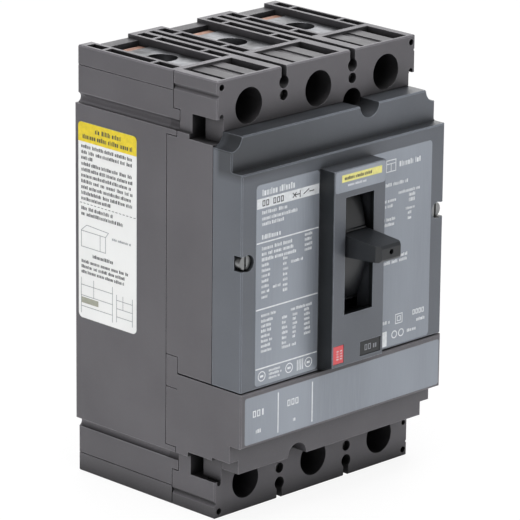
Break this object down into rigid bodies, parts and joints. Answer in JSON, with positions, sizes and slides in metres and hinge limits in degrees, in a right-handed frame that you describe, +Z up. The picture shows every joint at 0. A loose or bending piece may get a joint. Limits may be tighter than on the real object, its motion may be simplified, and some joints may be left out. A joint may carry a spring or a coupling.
{
  "type": "molded case circuit breaker",
  "caption": "Front-operated molded case circuit breaker with a protruding toggle lever, red trip button, plug-in trip unit and box lugs at both ends.",
  "frame": {"origin": "middle of the flat mounting face at the back of the case", "axes": "+Z up towards the line end, +Y into the mounting surface, +X to the operator's right"},
  "size_m": [0.1041, 0.1095, 0.163],
  "materials": {
    "case_plastic": "moulded dark grey thermoset, fine matt texture",
    "cover_plastic": "moulded blue-grey thermoplastic, satin",
    "grey_plate": "satin printed polycarbonate",
    "white_label": "semi-gloss printed film",
    "dark_plastic": "moulded black-grey thermoset, satin",
    "red_plastic": "semi-gloss red thermoplastic",
    "zinc_steel": "zinc plated",
    "plain_steel": "stamped, lightly oiled",
    "copper": "bare rolled copper",
    "heater_alloy": "bare resistance alloy",
    "contact_silver": "silver contact pad",
    "fibre_board": "vulcanised fibre",
    "lug_aluminium": "tin-plated extruded aluminium"
  },
  "bodies": {
    "case": {"base_case": "case_plastic", "mid_case": "case_plastic", "front_cover": "cover_plastic", "left_nameplate": "grey_plate", "right_nameplate": "grey_plate", "badge_plate": "grey_plate", "side_label": "white_label", "trip_unit_housing": "case_plastic", "trip_unit_label": "grey_plate", "rating_insert": "dark_plastic", "cover_screws": "zinc_steel", "case_screws": "zinc_steel", "trip_unit_screws": "zinc_steel", "rotor_bearing_caps": "dark_plastic", "line_conductors": "copper", "fixed_contact_tips": "contact_silver", "lower_contact_bars": "copper", "heater_bars": "heater_alloy", "load_terminals": "copper", "conductor_screws": "zinc_steel", "line_lugs": "lug_aluminium", "load_lugs": "lug_aluminium", "lug_mounting_screws": "zinc_steel", "arc_chute_frames": "fibre_board", "splitter_plates": "plain_steel", "bimetals": "heater_alloy", "calibration_screws": "zinc_steel", "magnet_yokes": "plain_steel", "armature_shaft": "zinc_steel", "side_frames": "plain_steel", "yoke_pivot_studs": "zinc_steel", "frame_spacers": "zinc_steel", "cradle_pivot_pin": "zinc_steel", "latch_pivot_pin": "zinc_steel", "trip_button_spring": "zinc_steel"},
    "toggle": {"toggle_handle": "dark_plastic", "handle_yoke": "plain_steel", "spring_anchor_pin": "zinc_steel", "main_springs": "zinc_steel"},
    "rotor": {"rotor_bar": "dark_plastic", "contact_bridges": "copper", "bridge_contact_tips": "contact_silver", "crank_pins": "zinc_steel"},
    "lower_link": {"lower_links": "plain_steel"},
    "upper_link": {"upper_links": "plain_steel", "knee_pin": "zinc_steel", "upper_link_pin": "zinc_steel"},
    "cradle": {"cradle": "plain_steel"},
    "latch": {"latch": "plain_steel"},
    "trip_button": {"trip_button": "red_plastic"},
    "trip_bar": {"trip_bar": "dark_plastic"},
    "armature_left": {"armature_left": "plain_steel"},
    "armature_centre": {"armature_centre": "plain_steel"},
    "armature_right": {"armature_right": "plain_steel"},
    "line_screw_left": {"line_screw_left": "lug_aluminium"},
    "line_screw_centre": {"line_screw_centre": "lug_aluminium"},
    "line_screw_right": {"line_screw_right": "lug_aluminium"},
    "load_screw_left": {"load_screw_left": "lug_aluminium"},
    "load_screw_centre": {"load_screw_centre": "lug_aluminium"},
    "load_screw_right": {"load_screw_right": "lug_aluminium"}
  },
  "joints": [
    {"name": "toggle_swing", "type": "hinge", "parent": "case", "child": "toggle", "pos_m": [0, -0.0463, 0.015], "axis": [-1, 0, 0], "range_deg": [-23, 16], "deforming": ["main_springs"]},
    {"name": "rotor_turn", "type": "hinge", "parent": "case", "child": "rotor", "pos_m": [0, -0.0235, 0], "axis": [-1, 0, 0], "range_deg": [-20.71, 14.41]},
    {"name": "lower_link_turn", "type": "hinge", "parent": "rotor", "child": "lower_link", "pos_m": [0, -0.02155, 0.01386], "axis": [-1, 0, 0], "range_deg": [-8.65, 12.43]},
    {"name": "upper_link_turn", "type": "hinge", "parent": "case", "child": "upper_link", "pos_m": [0, -0.06, 0.024], "axis": [-1, 0, 0], "range_deg": [-9.13, 13.12]},
    {"name": "cradle_swing", "type": "hinge", "parent": "case", "child": "cradle", "pos_m": [0, -0.05, 0.04], "axis": [-1, 0, 0], "range_deg": [0, 8]},
    {"name": "trip_button_push", "type": "slide", "parent": "case", "child": "trip_button", "axis": [0, 1, 0], "range_m": [0, 0.002], "deforming": ["trip_button_spring"]},
    {"name": "trip_bar_turn", "type": "hinge", "parent": "case", "child": "trip_bar", "pos_m": [0, -0.078, -0.038], "axis": [-1, 0, 0], "range_deg": [0, 8.45]},
    {"name": "latch_turn", "type": "hinge", "parent": "case", "child": "latch", "pos_m": [0, -0.07, -0.016], "axis": [-1, 0, 0], "range_deg": [-11.25, 0]},
    {"name": "armature_left_pull", "type": "hinge", "parent": "case", "child": "armature_left", "pos_m": [0, -0.0725, -0.04], "axis": [1, 0, 0], "range_deg": [0, 9]},
    {"name": "armature_centre_pull", "type": "hinge", "parent": "case", "child": "armature_centre", "pos_m": [0, -0.0725, -0.04], "axis": [1, 0, 0], "range_deg": [0, 9]},
    {"name": "armature_right_pull", "type": "hinge", "parent": "case", "child": "armature_right", "pos_m": [0, -0.0725, -0.04], "axis": [1, 0, 0], "range_deg": [0, 9]},
    {"name": "line_screw_left_drive", "type": "slide", "parent": "case", "child": "line_screw_left", "axis": [0, 1, 0], "range_m": [0, 0.01]},
    {"name": "line_screw_centre_drive", "type": "slide", "parent": "case", "child": "line_screw_centre", "axis": [0, 1, 0], "range_m": [0, 0.01]},
    {"name": "line_screw_right_drive", "type": "slide", "parent": "case", "child": "line_screw_right", "axis": [0, 1, 0], "range_m": [0, 0.01]},
    {"name": "load_screw_left_drive", "type": "slide", "parent": "case", "child": "load_screw_left", "axis": [0, 1, 0], "range_m": [0, 0.01]},
    {"name": "load_screw_centre_drive", "type": "slide", "parent": "case", "child": "load_screw_centre", "axis": [0, 1, 0], "range_m": [0, 0.01]},
    {"name": "load_screw_right_drive", "type": "slide", "parent": "case", "child": "load_screw_right", "axis": [0, 1, 0], "range_m": [0, 0.01]}
  ],
  "couplings": [
    {"joint": "rotor_turn", "follows": "toggle_swing", "ratio": 0.9},
    {"joint": "lower_link_turn", "follows": "toggle_swing", "ratio": -0.54},
    {"joint": "upper_link_turn", "follows": "toggle_swing", "ratio": -0.57},
    {"joint": "trip_bar_turn", "follows": "trip_button_push", "rad_per_m": 73.3},
    {"joint": "latch_turn", "follows": "trip_button_push", "rad_per_m": -97.7}
  ]
}
